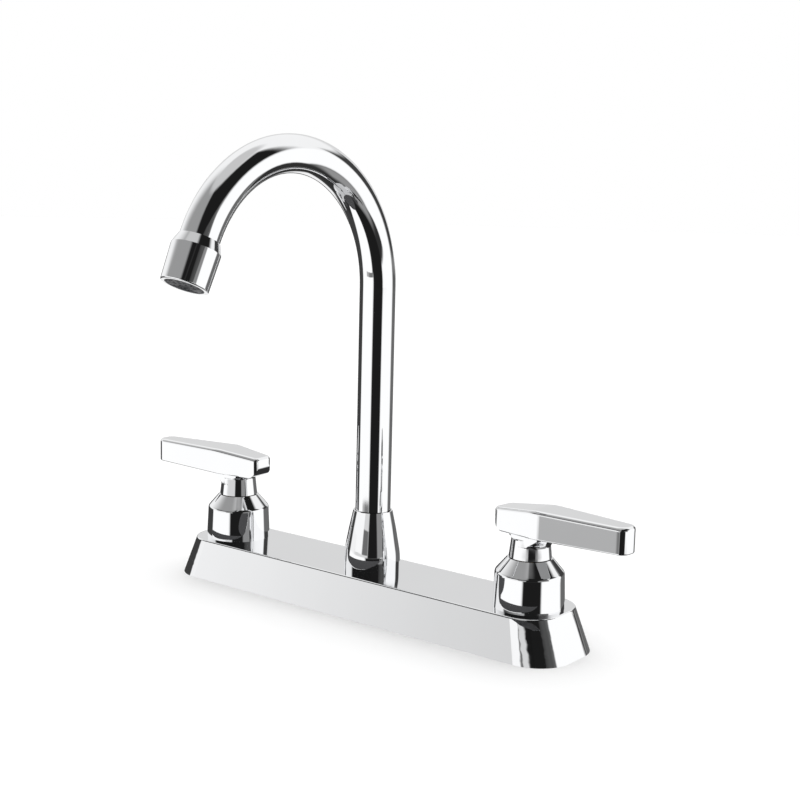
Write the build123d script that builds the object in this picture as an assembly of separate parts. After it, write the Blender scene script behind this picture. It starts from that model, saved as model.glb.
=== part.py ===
"""Deck-mounted basin mixer with two lever handles and a swivelling gooseneck spout.

Millimetres, +Z up. The origin lies on the deck under the spout's axis and the front is -Y.
The handles stand on the X axis, hot at -X and cold at +X.
"""
import os
from math import cos, radians, sin

from build123d import *

# Layout
handle_spacing = 203.2
deck_thickness = 20.0
part_clearance = 0.3
seal_clearance = 0.08
running_clearance = 0.05

# Plinth cover
base_height = 22.0
base_wall = 2.0
base_top_length = 245.0
base_top_width = 46.0
base_top_corner = 17.0
base_foot_length = 262.0
base_foot_width = 54.0
base_foot_corner = 20.0
base_edge_radius = 0.8
hole_clearance = 0.5
gasket_thickness = 2.0
gasket_width = 6.0

# Valve bodies, their shanks and the cross tubes
shank_diameter = 20.96
shank_length = 48.0
shank_bore = 11.0
body_bottom = 2.0
valve_body_diameter = 28.0
collar_diameter = 24.0
collar_height = 8.0
chamber_diameter = 19.6
chamber_floor = 6.0
cross_tube_diameter = 12.0
cross_tube_bore = 9.0
cross_tube_headroom = 1.0
socket_depth = 3.0

# Ceramic headworks
seal_thickness = 1.6
seal_width = 1.5
barrel_diameter = 17.0
barrel_bore = 15.8
disc_diameter = 15.4
disc_thickness = 3.0
disc_hub_radius = 1.8
disc_rim = 1.4
disc_port_angle = 76.0
window_width = 8.0
window_height = 5.0
headwork_thread = 20.9
hex_across_flats = 22.0
hex_height = 4.0
neck_thread_diameter = 14.0
spindle_diameter = 9.0
spindle_foot_thickness = 2.0
spindle_end_diameter = 8.0
spindle_ring_section = 1.6
bell_nut_diameter = 17.0
bell_nut_height = 3.0

# Bell covers
bell_foot_radius = 18.3
bell_shoulder_radius = 17.5
bell_shoulder_height = 17.8
bell_shoulder_round = 2.6
bell_top_radius = 11.4
bell_height = 25.0
bell_wall = 1.5

# Lever handles
lever_reach = 58.8
lever_nose = 19.1
lever_crest = 8.0
lever_nose_width = 14.0
lever_hub_width = 20.4
lever_tip_width = 12.0
lever_underside = 36.4
lever_tip_underside = 38.0
lever_nose_top = 48.5
lever_crest_top = 51.6
lever_tip_top = 51.3
lever_nose_round = 3.5
lever_tip_round = 5.0
lever_crest_round = 40.0
lever_bow_round = 8.2
lever_top_radius = 2.0
lever_edge_radius = 0.8
lever_forward_angle = 4.5
neck_foot_radius = 10.8
neck_top_radius = 9.7
neck_nose_flare = 1.2
neck_arm_flare = 4.5
skirt_bore_radius = 9.4
spindle_socket_top = 42.0
set_screw_diameter = 5.0
set_screw_height = 33.0
set_screw_key = 2.5
set_screw_key_depth = 2.5

# Spout hub and nut
hub_diameter = 30.0
hub_bore = 17.0
boss_diameter = 26.4
boss_height = 9.0
nut_foot_radius = 15.3
nut_foot_height = 8.0
nut_waist_radius = 12.7
nut_waist_height = 22.5
nut_top_radius = 10.6
nut_height = 32.2
nut_foot_round = 40.0
nut_waist_round = 100.0
nut_pocket_radius = 12.6

# Spout and its swivel end
tube_diameter = 19.0
tube_wall = 1.0
bend_radius = 67.5
bend_sweep = 156.0
bend_height = 153.0
tube_end_length = 11.0
spigot_bore = 10.0
spigot_bottom = 18.6
spigot_insert = 14.0
stop_collar_radius = 9.3
stop_collar_thickness = 0.8
ring_groove_depth = 0.8
ring_thickness = 3.0
ring_radius = 12.0
ring_gap = 5.0
bearing_washer_radius = 12.2
bearing_washer_thickness = 1.0
spout_ring_section = 1.8
spout_ring_pitch = 6.0

# Nozzle and aerator
nozzle_length = 23.0
nozzle_flare_length = 5.0
nozzle_neck_radius = 9.9
nozzle_radius = 11.8
nozzle_mouth_radius = 11.3
nozzle_edge_radius = 0.6
nozzle_lip_radius = 9.4
nozzle_lip_height = 1.2
insert_radius = 10.2
insert_wall = 1.4
insert_face_thickness = 2.0
aerator_washer_width = 2.4
aerator_washer_thickness = 1.5
aerator_hole_diameter = 1.8
aerator_hole_pitch = 3.4
aerator_hole_rings = 2
aerator_holes_in_first_ring = 6

# Hardware below the deck
washer_diameter = 38.0
washer_thickness = 2.0
lock_nut_across_flats = 32.0
lock_nut_height = 9.0

# Places worked out from the sizes above
handle_x = handle_spacing / 2
cover_ceiling = base_height - base_wall
port_height = cover_ceiling - cross_tube_headroom - cross_tube_diameter / 2
collar_top = base_height + collar_height
boss_top = base_height + boss_height
bell_top = base_height + bell_height
bell_nut_top = bell_top + bell_nut_height
hex_top = collar_top + hex_height
disc_floor = chamber_floor + seal_thickness
spindle_foot = disc_floor + 2 * disc_thickness
skirt_bottom = bell_top + part_clearance
skirt_top = bell_nut_top + part_clearance
lever_base = base_height + lever_underside
socket_top = base_height + spindle_socket_top
ring_bottom = boss_top + bearing_washer_thickness + seal_clearance
ring_top = ring_bottom + ring_thickness
pocket_top = ring_top + part_clearance
tube_bottom = pocket_top + stop_collar_thickness
tube_radius = tube_diameter / 2
tube_bore_radius = tube_radius - tube_wall
spigot_radius = hub_bore / 2 - seal_clearance
bend_centre = base_height + bend_height
shank_radius = shank_diameter / 2


def rod(radius, bottom, top):
    """Upright round bar on the Z axis."""
    bar = Cylinder(radius, top - bottom, align=(Align.CENTER, Align.CENTER, Align.MIN))
    return Pos(0, 0, bottom) * bar


def sleeve(outer, inner, bottom, top):
    """Upright tube on the Z axis from its outer and inner radius."""
    return rod(outer, bottom, top) - rod(inner, bottom, top)


def cross_bar(radius, height, start, end):
    """Round bar along X between two places."""
    bar = Cylinder(radius, end - start, align=(Align.CENTER, Align.CENTER, Align.MIN))
    return Pos(start, 0, height) * Rot(0, 90, 0) * bar


def hex_bar(across_flats, bottom, top):
    """Upright hexagonal bar on the Z axis."""
    hexagon = RegularPolygon(across_flats / 2, 6, major_radius=False)
    return extrude(Pos(0, 0, bottom) * hexagon, top - bottom)


def outline(points):
    """Flat face through (x, y, corner radius) points."""
    corners = [(x, y) for x, y, _ in points]
    return make_face(FilletPolyline(*corners, radius=[radius for _, _, radius in points], close=True))


def turned(points):
    """Solid turned about Z from a closed outline of (radius, height, corner radius) points."""
    return revolve(Plane.XZ * outline(points), Axis.Z)


def seal_ring(section, outer_radius, height):
    """Round-section ring on the Z axis."""
    return Pos(0, 0, height) * Torus(outer_radius - section / 2, section / 2)


def mirrored(body):
    """The hot side's copy of a cold-side piece."""
    return mirror(body, about=Plane.YZ)


def on_both_sides(body):
    """A piece on the Z axis, repeated on both handle axes."""
    return Pos(-handle_x, 0, 0) * body + Pos(handle_x, 0, 0) * body


def plinth(inset, top):
    """Flared plinth solid from the deck up to a height, drawn in on every side by an inset."""
    sections = []
    for height in (0.0, top):
        rise = height / base_height
        length = base_foot_length + (base_top_length - base_foot_length) * rise - 2 * inset
        width = base_foot_width + (base_top_width - base_foot_width) * rise - 2 * inset
        corner = base_foot_corner + (base_top_corner - base_foot_corner) * rise - inset
        sections.append(Pos(0, 0, height) * RectangleRounded(length, width, corner))
    return loft(sections)


def base_cover():
    """Plinth shell with holes for the two valve collars and the spout boss."""
    shell = plinth(0, base_height)
    shell = fillet(shell.edges().group_by(Axis.Z)[-1], base_edge_radius)
    shell -= plinth(base_wall, cover_ceiling)
    shell -= on_both_sides(rod(collar_diameter / 2 + hole_clearance, cover_ceiling, base_height))
    return shell - rod(boss_diameter / 2 + hole_clearance, cover_ceiling, base_height)


def deck_gasket():
    """Rubber frame inside the plinth's foot."""
    rim = plinth(base_wall + part_clearance, gasket_thickness)
    inset = base_wall + part_clearance + gasket_width
    length = base_foot_length - 2 * inset
    width = base_foot_width - 2 * inset
    opening = RectangleRounded(length, width, base_foot_corner - inset)
    return rim - extrude(opening, gasket_thickness)


def valve_body():
    """Brass body with its shank, chamber, collar and a port towards the spout."""
    radius = valve_body_diameter / 2
    body = rod(shank_radius, -shank_length, body_bottom)
    body += rod(radius, body_bottom, cover_ceiling)
    body += rod(collar_diameter / 2, cover_ceiling, collar_top)
    body -= rod(shank_bore / 2, -shank_length, chamber_floor)
    body -= rod(chamber_diameter / 2, chamber_floor, cover_ceiling)
    body -= rod(headwork_thread / 2, cover_ceiling, collar_top)
    body -= cross_bar(cross_tube_bore / 2, port_height, -radius, 0)
    return body - cross_bar(cross_tube_diameter / 2, port_height, -radius, socket_depth - radius)


def cross_tube():
    """Tube from the spout hub's socket to the cold valve body's socket."""
    start = hub_diameter / 2 - socket_depth
    end = handle_x - valve_body_diameter / 2 + socket_depth
    tube = cross_bar(cross_tube_diameter / 2, port_height, start, end)
    return tube - cross_bar(cross_tube_bore / 2, port_height, start, end)


def cartridge_seal():
    """Rubber ring between the valve seat and the fixed disc."""
    return sleeve(disc_diameter / 2, disc_diameter / 2 - seal_width, chamber_floor, disc_floor)


def ported_disc(bottom, turn):
    """Ceramic disc with two opposite sector ports, turned by an angle."""
    reach = disc_diameter
    half = radians(disc_port_angle / 2)
    wedge = make_face(Polyline(
        (0, 0),
        (reach * cos(half), reach * sin(half)),
        (reach * cos(half), -reach * sin(half)),
        close=True,
    ))
    sector = wedge & (Circle(disc_diameter / 2 - disc_rim) - Circle(disc_hub_radius))
    port = extrude(Pos(0, 0, bottom) * sector, disc_thickness)
    disc = rod(disc_diameter / 2, bottom, bottom + disc_thickness)
    for angle in (0, 180):
        disc -= Rot(0, 0, angle + turn) * port
    return disc


def cartridge_body():
    """Headwork: slotted barrel, thread, hexagon and threaded neck, bored for the spindle."""
    body = rod(barrel_diameter / 2, disc_floor, cover_ceiling)
    body += rod(headwork_thread / 2, cover_ceiling, collar_top)
    body += hex_bar(hex_across_flats, collar_top, hex_top)
    body += rod(neck_thread_diameter / 2, hex_top, bell_nut_top)
    body -= rod(barrel_bore / 2, disc_floor, cover_ceiling)
    body -= rod(spindle_diameter / 2 + running_clearance, cover_ceiling, bell_nut_top)
    window = Box(window_width, barrel_diameter, window_height, align=(Align.CENTER, Align.CENTER, Align.MAX))
    return body - Pos(0, 0, cover_ceiling - spindle_foot_thickness / 2) * window


def spindle():
    """Turning spindle: a foot that drives the upper disc, a sealed shaft and the lever's end."""
    groove_middle = (collar_top + hex_top) / 2
    groove_half = spindle_ring_section / 2 + seal_clearance
    body = rod(disc_diameter / 2, spindle_foot, spindle_foot + spindle_foot_thickness)
    body += rod(spindle_diameter / 2, spindle_foot, bell_nut_top)
    body += rod(spindle_end_diameter / 2, bell_nut_top, socket_top - part_clearance)
    return body - sleeve(
        spindle_diameter / 2,
        spindle_diameter / 2 - spindle_ring_section,
        groove_middle - groove_half,
        groove_middle + groove_half,
    )


def spindle_ring():
    """Seal ring in the spindle's groove."""
    return seal_ring(spindle_ring_section, spindle_diameter / 2, (collar_top + hex_top) / 2)


def bell_nut():
    """Thin round nut that clamps the bell on the headwork's neck."""
    return sleeve(bell_nut_diameter / 2, neck_thread_diameter / 2, bell_top, bell_nut_top)


def bell_cover():
    """Bell-shaped shell with a rounded shoulder and a conical top."""
    shoulder = base_height + bell_shoulder_height
    outer = turned([
        (0, base_height, 0),
        (bell_foot_radius, base_height, 0),
        (bell_shoulder_radius, shoulder, bell_shoulder_round),
        (bell_top_radius, bell_top, 0),
        (0, bell_top, 0),
    ])
    inner = turned([
        (0, base_height, 0),
        (bell_foot_radius - bell_wall, base_height, 0),
        (bell_shoulder_radius - bell_wall, shoulder - bell_wall / 2, bell_shoulder_round / 2),
        (bell_top_radius - bell_wall, bell_top - bell_wall, 0),
        (0, bell_top - bell_wall, 0),
    ])
    return outer - inner - rod(neck_thread_diameter / 2 + seal_clearance, base_height, bell_top)


def nose_bow():
    """Cutter that rounds the nose's lower end, seen from the side."""
    centre = (-lever_nose + lever_bow_round, lever_base + lever_bow_round)
    depth = 2 * lever_hub_width
    corner = Box(2 * lever_bow_round, depth, 2 * lever_bow_round, align=(Align.MAX, Align.CENTER, Align.MAX))
    return Pos(centre[0], 0, centre[1]) * (corner - Rot(90, 0, 0) * Cylinder(lever_bow_round, depth))


def lever_bar():
    """Cast lever along +X: its outline from above crossed with its outline from the side."""
    plan = outline([
        (-lever_nose, -lever_nose_width / 2, lever_nose_round),
        (lever_crest, -lever_hub_width / 2, lever_crest_round),
        (lever_reach, -lever_tip_width / 2, lever_tip_round),
        (lever_reach, lever_tip_width / 2, lever_tip_round),
        (lever_crest, lever_hub_width / 2, lever_crest_round),
        (-lever_nose, lever_nose_width / 2, lever_nose_round),
    ])
    profile = outline([
        (-lever_nose, lever_underside, 0),
        (lever_reach, lever_tip_underside, 0),
        (lever_reach, lever_tip_top, 0),
        (lever_crest, lever_crest_top, lever_crest_round),
        (-lever_nose, lever_nose_top, 0),
    ])
    tall = extrude(Pos(0, 0, base_height) * plan, lever_crest_top)
    wide = extrude(Plane.XZ * Pos(0, base_height) * profile, lever_hub_width, both=True)
    bar = tall & wide
    lowest_top = base_height + min(lever_nose_top, lever_tip_top)
    crest = base_height + lever_crest_top
    top_rim = bar.edges().filter_by_position(Axis.Z, lowest_top - lever_edge_radius, crest)
    bar = fillet(top_rim, lever_top_radius)
    waist = lever_base + lever_bow_round
    low_rim = bar.edges().filter_by_position(Axis.Z, base_height, waist)
    return fillet(low_rim, lever_edge_radius) - nose_bow()


def neck(flare):
    """Neck from the bell up into the lever, flared at its top between the lever's cheeks."""
    body = turned([
        (0, skirt_bottom, 0),
        (neck_foot_radius, skirt_bottom, 0),
        (neck_top_radius, lever_base - flare, flare),
        (neck_top_radius + flare, lever_base, 0),
        (neck_top_radius + flare, lever_base + lever_edge_radius, 0),
        (0, lever_base + lever_edge_radius, 0),
    ])
    width_inside_edges = lever_hub_width - 2 * lever_edge_radius
    flat_cheeks = Pos(0, 0, lever_base) * Box(2 * lever_reach, width_inside_edges, 2 * flare)
    return body & (flat_cheeks + rod(neck_foot_radius, skirt_bottom, lever_base - flare))


def handle():
    """Lever with its flared neck, bored for the bell nut, the spindle and the set screw."""
    reach = 2 * lever_reach
    arm_side = Box(lever_reach, reach, reach, align=(Align.MIN, Align.CENTER, Align.CENTER))
    body = lever_bar() + neck(neck_nose_flare)
    body += neck(neck_arm_flare) & (Pos(0, 0, base_height) * arm_side)
    body -= rod(skirt_bore_radius, skirt_bottom, skirt_top)
    body -= rod(spindle_end_diameter / 2, skirt_top, socket_top)
    return body - set_screw_place() * rod(set_screw_diameter / 2, 0, neck_foot_radius)


def set_screw_place():
    """Frame of the set screw: at the spindle's axis, pointing to the back of the neck."""
    return Pos(0, 0, base_height + set_screw_height) * Rot(-90, 0, 0)


def set_screw():
    """Headless screw with a hexagon socket, home on the spindle."""
    length = neck_top_radius - part_clearance
    screw = rod(set_screw_diameter / 2, spindle_end_diameter / 2, length)
    return set_screw_place() * (screw - hex_bar(set_screw_key, length - set_screw_key_depth, length))


def spout_hub():
    """Brass centre body with two side ports, the spout's socket and a threaded boss."""
    radius = hub_diameter / 2
    body = rod(radius, body_bottom, cover_ceiling) + rod(boss_diameter / 2, cover_ceiling, boss_top)
    body -= rod(hub_bore / 2, chamber_floor, boss_top)
    body -= cross_bar(cross_tube_bore / 2, port_height, -radius, radius)
    for start in (-radius, radius - socket_depth):
        body -= cross_bar(cross_tube_diameter / 2, port_height, start, start + socket_depth)
    return body


def spout_nut():
    """Tapered nut on the hub's boss, with a pocket for the retaining ring."""
    nut = turned([
        (0, base_height, 0),
        (nut_foot_radius, base_height, 0),
        (nut_foot_radius, base_height + nut_foot_height, nut_foot_round),
        (nut_waist_radius, base_height + nut_waist_height, nut_waist_round),
        (nut_top_radius, base_height + nut_height, 0),
        (0, base_height + nut_height, 0),
    ])
    nut -= rod(boss_diameter / 2, base_height, boss_top)
    nut -= rod(nut_pocket_radius, boss_top, pocket_top)
    return nut - rod(tube_radius + part_clearance, pocket_top, base_height + nut_height)


def bearing_washer():
    """Plastic washer on the boss, under the retaining ring."""
    top = boss_top + bearing_washer_thickness
    return sleeve(bearing_washer_radius, spigot_radius + part_clearance, boss_top, top)


def retaining_ring():
    """Split ring in the spigot's groove."""
    ring = sleeve(ring_radius, spigot_radius - ring_groove_depth, ring_bottom, ring_top)
    gap = Box(ring_radius, ring_gap, ring_thickness, align=(Align.MIN, Align.CENTER, Align.MIN))
    return ring - Pos(0, 0, ring_bottom) * gap


def spout_ring_heights():
    """Heights of the two seal rings on the spigot."""
    middle = (spigot_bottom + boss_top) / 2
    return [middle - spout_ring_pitch / 2, middle + spout_ring_pitch / 2]


def spout_rings():
    """Two seal rings between the spigot and the hub."""
    outer_radius = hub_bore / 2 - running_clearance
    low, high = [seal_ring(spout_ring_section, outer_radius, height) for height in spout_ring_heights()]
    return low + high


def spigot():
    """Brass swivel end: grooved barrel, ring groove, stop collar and the part inside the tube."""
    body = rod(spigot_radius, spigot_bottom, pocket_top)
    body += rod(stop_collar_radius, pocket_top, tube_bottom)
    body += rod(tube_bore_radius, tube_bottom, tube_bottom + spigot_insert)
    body -= sleeve(spigot_radius, spigot_radius - ring_groove_depth, ring_bottom, ring_top)
    root = hub_bore / 2 - running_clearance - spout_ring_section
    half = spout_ring_section / 2 + seal_clearance
    for height in spout_ring_heights():
        body -= sleeve(spigot_radius, root, height - half, height + half)
    return body - rod(spigot_bore / 2, spigot_bottom, tube_bottom + spigot_insert)


def bend_point(angle):
    """Point of the spout's centre line after turning through an angle of the bend."""
    turn = radians(angle)
    return Vector(0, bend_radius * (cos(turn) - 1), bend_centre + bend_radius * sin(turn))


def bend_direction(angle):
    """Direction of the spout's centre line after turning through an angle of the bend."""
    turn = radians(angle)
    return Vector(0, -sin(turn), cos(turn))


def spout_tube():
    """Gooseneck: upright run, one bend and a short straight end, swept as a tube."""
    end = bend_point(bend_sweep)
    rise = Line((0, 0, tube_bottom), bend_point(0))
    bend = ThreePointArc(bend_point(0), bend_point(bend_sweep / 2), end)
    tail = Line(end, end + bend_direction(bend_sweep) * tube_end_length)
    route = Wire([rise.edge(), bend.edge(), tail.edge()])
    foot = Pos(0, 0, tube_bottom)
    return sweep(foot * Circle(tube_radius), path=route) - sweep(foot * Circle(tube_bore_radius), path=route)


def nozzle_place():
    """Frame at the end of the bend, with Z along the water's way out."""
    frame = Plane(bend_point(bend_sweep), x_dir=(1, 0, 0), z_dir=bend_direction(bend_sweep))
    return frame.location


def nozzle():
    """Flared housing on the tube's end, with an inner lip at its mouth."""
    shell = turned([
        (0, 0, 0),
        (nozzle_neck_radius, 0, 0),
        (nozzle_radius, nozzle_flare_length, nozzle_edge_radius),
        (nozzle_mouth_radius, nozzle_length, nozzle_edge_radius),
        (0, nozzle_length, 0),
    ])
    shell -= rod(tube_radius, 0, tube_end_length)
    shell -= rod(insert_radius, tube_end_length, nozzle_length - nozzle_lip_height)
    return nozzle_place() * (shell - rod(nozzle_lip_radius, 0, nozzle_length))


def aerator_washer():
    """Rubber ring between the tube's end and the aerator."""
    top = tube_end_length + aerator_washer_thickness
    return nozzle_place() * sleeve(insert_radius, insert_radius - aerator_washer_width, tube_end_length, top)


def aerator_insert():
    """Plastic cup whose face has rings of round holes."""
    start = tube_end_length + aerator_washer_thickness
    end = nozzle_length - nozzle_lip_height
    cup = rod(insert_radius, start, end)
    cup -= rod(insert_radius - insert_wall, start, end - insert_face_thickness)
    hole = rod(aerator_hole_diameter / 2, end - insert_face_thickness, end)
    cup -= hole
    for ring in range(1, aerator_hole_rings + 1):
        cup -= PolarLocations(ring * aerator_hole_pitch, ring * aerator_holes_in_first_ring) * hole
    return nozzle_place() * cup


def deck_washers():
    """Steel washers under the deck, one on each shank."""
    top = -deck_thickness
    return on_both_sides(sleeve(washer_diameter / 2, shank_radius, top - washer_thickness, top))


def lock_nuts():
    """Brass hexagon nuts under the washers, one on each shank."""
    top = -deck_thickness - washer_thickness
    nut = hex_bar(lock_nut_across_flats, top - lock_nut_height, top)
    return on_both_sides(nut - rod(shank_radius, top - lock_nut_height, top))


def handle_pieces():
    """Pieces of one handle's valve, on the Z axis with the lever along +X."""
    closed = Rot(0, 0, -lever_forward_angle)
    return {
        "valve_body": valve_body(),
        "cartridge_seal": cartridge_seal(),
        "fixed_disc": ported_disc(disc_floor, 0),
        "turning_disc": ported_disc(disc_floor + disc_thickness, 90),
        "cartridge_body": cartridge_body(),
        "spindle": spindle(),
        "spindle_o_ring": spindle_ring(),
        "bell_cover": bell_cover(),
        "bell_nut": bell_nut(),
        "handle": closed * handle(),
        "set_screw": closed * set_screw(),
    }


def all_pieces():
    """Every piece of the mixer by name."""
    pieces = {
        "base_cover": base_cover(),
        "deck_gasket": deck_gasket(),
        "spout_hub": spout_hub(),
        "spout_nut": spout_nut(),
        "spout_bearing_washer": bearing_washer(),
        "spout_retaining_ring": retaining_ring(),
        "spout_o_rings": spout_rings(),
        "spout_spigot": spigot(),
        "spout_tube": spout_tube(),
        "nozzle": nozzle(),
        "aerator_washer": aerator_washer(),
        "aerator_insert": aerator_insert(),
        "deck_washers": deck_washers(),
        "lock_nuts": lock_nuts(),
    }
    cold = {name: Pos(handle_x, 0, 0) * body for name, body in handle_pieces().items()}
    cold["cross_tube"] = cross_tube()
    for name, body in cold.items():
        pieces["cold_" + name] = body
        pieces["hot_" + name] = mirrored(body)
    return pieces


os.makedirs("parts", exist_ok=True)
for node, solid in all_pieces().items():
    export_step(solid, f"parts/{node}.step")
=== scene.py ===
"""Finishes, fine hardware, studio and camera for a deck-mounted basin mixer.

Metres, +Z up, with the origin on the deck under the spout's axis and the front at -Y.
"""

from math import cos, pi, radians, sin

import bmesh
import bpy
from bpy.props import FloatProperty, FloatVectorProperty, IntProperty, PointerProperty
from mathutils import Matrix, Vector


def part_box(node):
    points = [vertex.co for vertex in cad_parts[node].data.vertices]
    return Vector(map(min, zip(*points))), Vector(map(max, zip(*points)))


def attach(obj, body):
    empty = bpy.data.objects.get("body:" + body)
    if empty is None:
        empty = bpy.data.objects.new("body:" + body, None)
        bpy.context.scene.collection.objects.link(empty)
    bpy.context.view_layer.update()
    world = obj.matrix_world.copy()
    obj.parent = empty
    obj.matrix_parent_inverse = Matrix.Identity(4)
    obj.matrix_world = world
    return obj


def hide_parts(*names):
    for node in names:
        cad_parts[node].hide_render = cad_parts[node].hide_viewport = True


bl_info = {
    "name": "Basin mixer dressing",
    "version": (1, 0, 0),
    "blender": (4, 5, 0),
    "location": "3D View > Sidebar > Basin mixer",
    "description": "Gives the basin mixer its finishes, threads, floor, light and camera",
    "category": "Object",
}

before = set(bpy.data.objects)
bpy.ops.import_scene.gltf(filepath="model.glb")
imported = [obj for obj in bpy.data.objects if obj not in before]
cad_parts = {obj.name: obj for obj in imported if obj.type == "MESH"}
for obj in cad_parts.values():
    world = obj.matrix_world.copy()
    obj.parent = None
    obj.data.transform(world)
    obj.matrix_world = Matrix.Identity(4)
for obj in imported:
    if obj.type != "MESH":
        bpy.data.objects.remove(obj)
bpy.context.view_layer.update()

SIDES = ("cold", "hot")
MM = 0.001

# Corners of a CAD mesh that lie this close together are one corner
JOIN_WITHIN = 0.0002 * MM
# Faces that meet at more than this angle have a sharp edge
HARD_EDGE = radians(28)
# How far a cutter goes past an outside edge and past a bore's wall
PAST_EDGE = 1.0 * MM
PAST_BORE = 0.5 * MM
# Turns that a thread's cutter goes past an open end
PAST_TURNS = 1.5
# A thread's depth and the widths of its groove, as shares of its pitch
THREAD_DEPTH = 0.6
THREAD_MOUTH = 0.9
THREAD_ROOT = 0.12
# Fall of the bevels on hexagons, for each unit outward
HEXAGON_SLOPE = 0.55


def low(node):
    """Lowest corner of a CAD node."""
    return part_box(node)[0]


def high(node):
    """Highest corner of a CAD node."""
    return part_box(node)[1]


def both_sides(name):
    """The cold and the hot node of one kind of piece."""
    return [f"{side}_{name}" for side in SIDES]


# Materials


class Finish:
    """Builds one node material around a Principled shader."""

    def __init__(self, name, color, metallic, roughness):
        self.material = bpy.data.materials.new(name)
        self.material.use_nodes = True
        self.nodes = self.material.node_tree.nodes
        self.links = self.material.node_tree.links
        self.shader = self.nodes["Principled BSDF"]
        self.shader.inputs["Base Color"].default_value = (*color, 1)
        self.shader.inputs["Metallic"].default_value = metallic
        self.shader.inputs["Roughness"].default_value = roughness
        self.place = self.nodes.new("ShaderNodeTexCoord").outputs["Object"]

    def node(self, kind, values=None, **settings):
        """A new node with its settings and its unlinked values."""
        made = self.nodes.new("ShaderNode" + kind)
        for key, value in settings.items():
            setattr(made, key, value)
        for key, value in (values or {}).items():
            made.inputs[key].default_value = value
        return made

    def stretched(self, scale):
        """Object coordinates stretched by an (x, y, z) scale."""
        mapping = self.node("Mapping", {"Scale": scale})
        self.links.new(self.place, mapping.inputs["Vector"])
        return mapping.outputs["Vector"]

    def noise(self, grains, detail=3.0, place=None):
        """Noise between 0 and 1 with this many grains to the metre."""
        noise = self.node("TexNoise", {"Scale": grains, "Detail": detail, "Roughness": 0.55})
        self.links.new(place or self.place, noise.inputs["Vector"])
        return noise.outputs["Fac"]

    def ramp(self, value, start, end, low_out, high_out):
        """Value mapped from one range to another."""
        ends = {"From Min": start, "From Max": end, "To Min": low_out, "To Max": high_out}
        mapped = self.node("MapRange", ends)
        self.links.new(value, mapped.inputs["Value"])
        return mapped.outputs["Result"]

    def tint(self, value, dark, light):
        """Base colour that runs between two colours with a value."""
        mix = self.node("Mix", data_type="RGBA")
        # The sockets for colours come after those for numbers and vectors
        factor, first, second, result = mix.inputs[0], mix.inputs[6], mix.inputs[7], mix.outputs[2]
        first.default_value = (*dark, 1)
        second.default_value = (*light, 1)
        self.links.new(value, factor)
        self.links.new(result, self.shader.inputs["Base Color"])

    def roughen(self, value):
        """Roughness from a value."""
        self.links.new(value, self.shader.inputs["Roughness"])

    def emboss(self, value, height):
        """Relief of this height in metres on top of what is embossed already."""
        bump = self.node("Bump", {"Strength": 1.0, "Distance": height})
        self.links.new(value, bump.inputs["Height"])
        normal = self.shader.inputs["Normal"]
        if normal.is_linked:
            self.links.new(normal.links[0].from_socket, bump.inputs["Normal"])
        self.links.new(bump.outputs["Normal"], normal)


def shaded(color, share):
    """A colour darkened to a share of itself."""
    return [channel * share for channel in color]


def chrome(name, ripples, ripple_height):
    """Polished chrome plate with faint ripples, wiping marks and orange peel."""
    look = bpy.context.scene.mixer_colours
    clean = look.chrome_roughness
    finish = Finish(name, look.chrome_color, metallic=1.0, roughness=clean)
    smears = finish.noise(34.0, detail=4.0, place=finish.stretched((1.0, 1.0, 0.35)))
    finish.roughen(finish.ramp(smears, 0.35, 0.7, clean, clean * 2.2))
    finish.tint(smears, shaded(look.chrome_color, 0.97), look.chrome_color)
    finish.emboss(finish.noise(ripples, detail=1.0), ripple_height)
    finish.emboss(finish.noise(900.0, detail=1.0), 0.0002 * MM)
    return finish.material


def brass():
    """Machined brass with turning lines and tarnish."""
    look = bpy.context.scene.mixer_colours
    finish = Finish("machined_brass", look.brass_color, metallic=1.0, roughness=0.3)
    turning = finish.noise(1.0, detail=2.0, place=finish.stretched((60.0, 60.0, 9000.0)))
    tarnish = finish.noise(120.0, detail=5.0)
    finish.tint(tarnish, shaded(look.brass_color, 0.72), look.brass_color)
    finish.roughen(finish.ramp(turning, 0.3, 0.7, 0.2, 0.38))
    finish.emboss(turning, 0.006 * MM)
    return finish.material


def rubber():
    """Matt black rubber with a moulded grain and a dusty bloom."""
    finish = Finish("black_rubber", (0.02, 0.02, 0.021), metallic=0.0, roughness=0.7)
    bloom = finish.noise(260.0, detail=5.0)
    finish.tint(bloom, (0.014, 0.014, 0.015), (0.035, 0.035, 0.037))
    finish.roughen(finish.ramp(bloom, 0.3, 0.7, 0.62, 0.82))
    finish.emboss(finish.noise(3200.0, detail=2.0), 0.02 * MM)
    return finish.material


def ceramic():
    """Lapped ivory ceramic with fine speckles."""
    finish = Finish("lapped_ceramic", (0.88, 0.86, 0.81), metallic=0.0, roughness=0.22)
    speckle = finish.noise(2600.0, detail=4.0)
    finish.tint(speckle, (0.8, 0.78, 0.72), (0.93, 0.91, 0.87))
    finish.roughen(finish.ramp(speckle, 0.3, 0.7, 0.16, 0.3))
    return finish.material


def steel():
    """Zinc-plated steel with brushed streaks and dull patches."""
    finish = Finish("plated_steel", (0.62, 0.62, 0.63), metallic=1.0, roughness=0.35)
    streaks = finish.noise(1.0, detail=3.0, place=finish.stretched((2600.0, 120.0, 400.0)))
    patches = finish.noise(90.0, detail=4.0)
    finish.tint(patches, (0.5, 0.5, 0.52), (0.68, 0.68, 0.69))
    finish.roughen(finish.ramp(streaks, 0.25, 0.75, 0.26, 0.46))
    finish.emboss(streaks, 0.004 * MM)
    return finish.material


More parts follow.
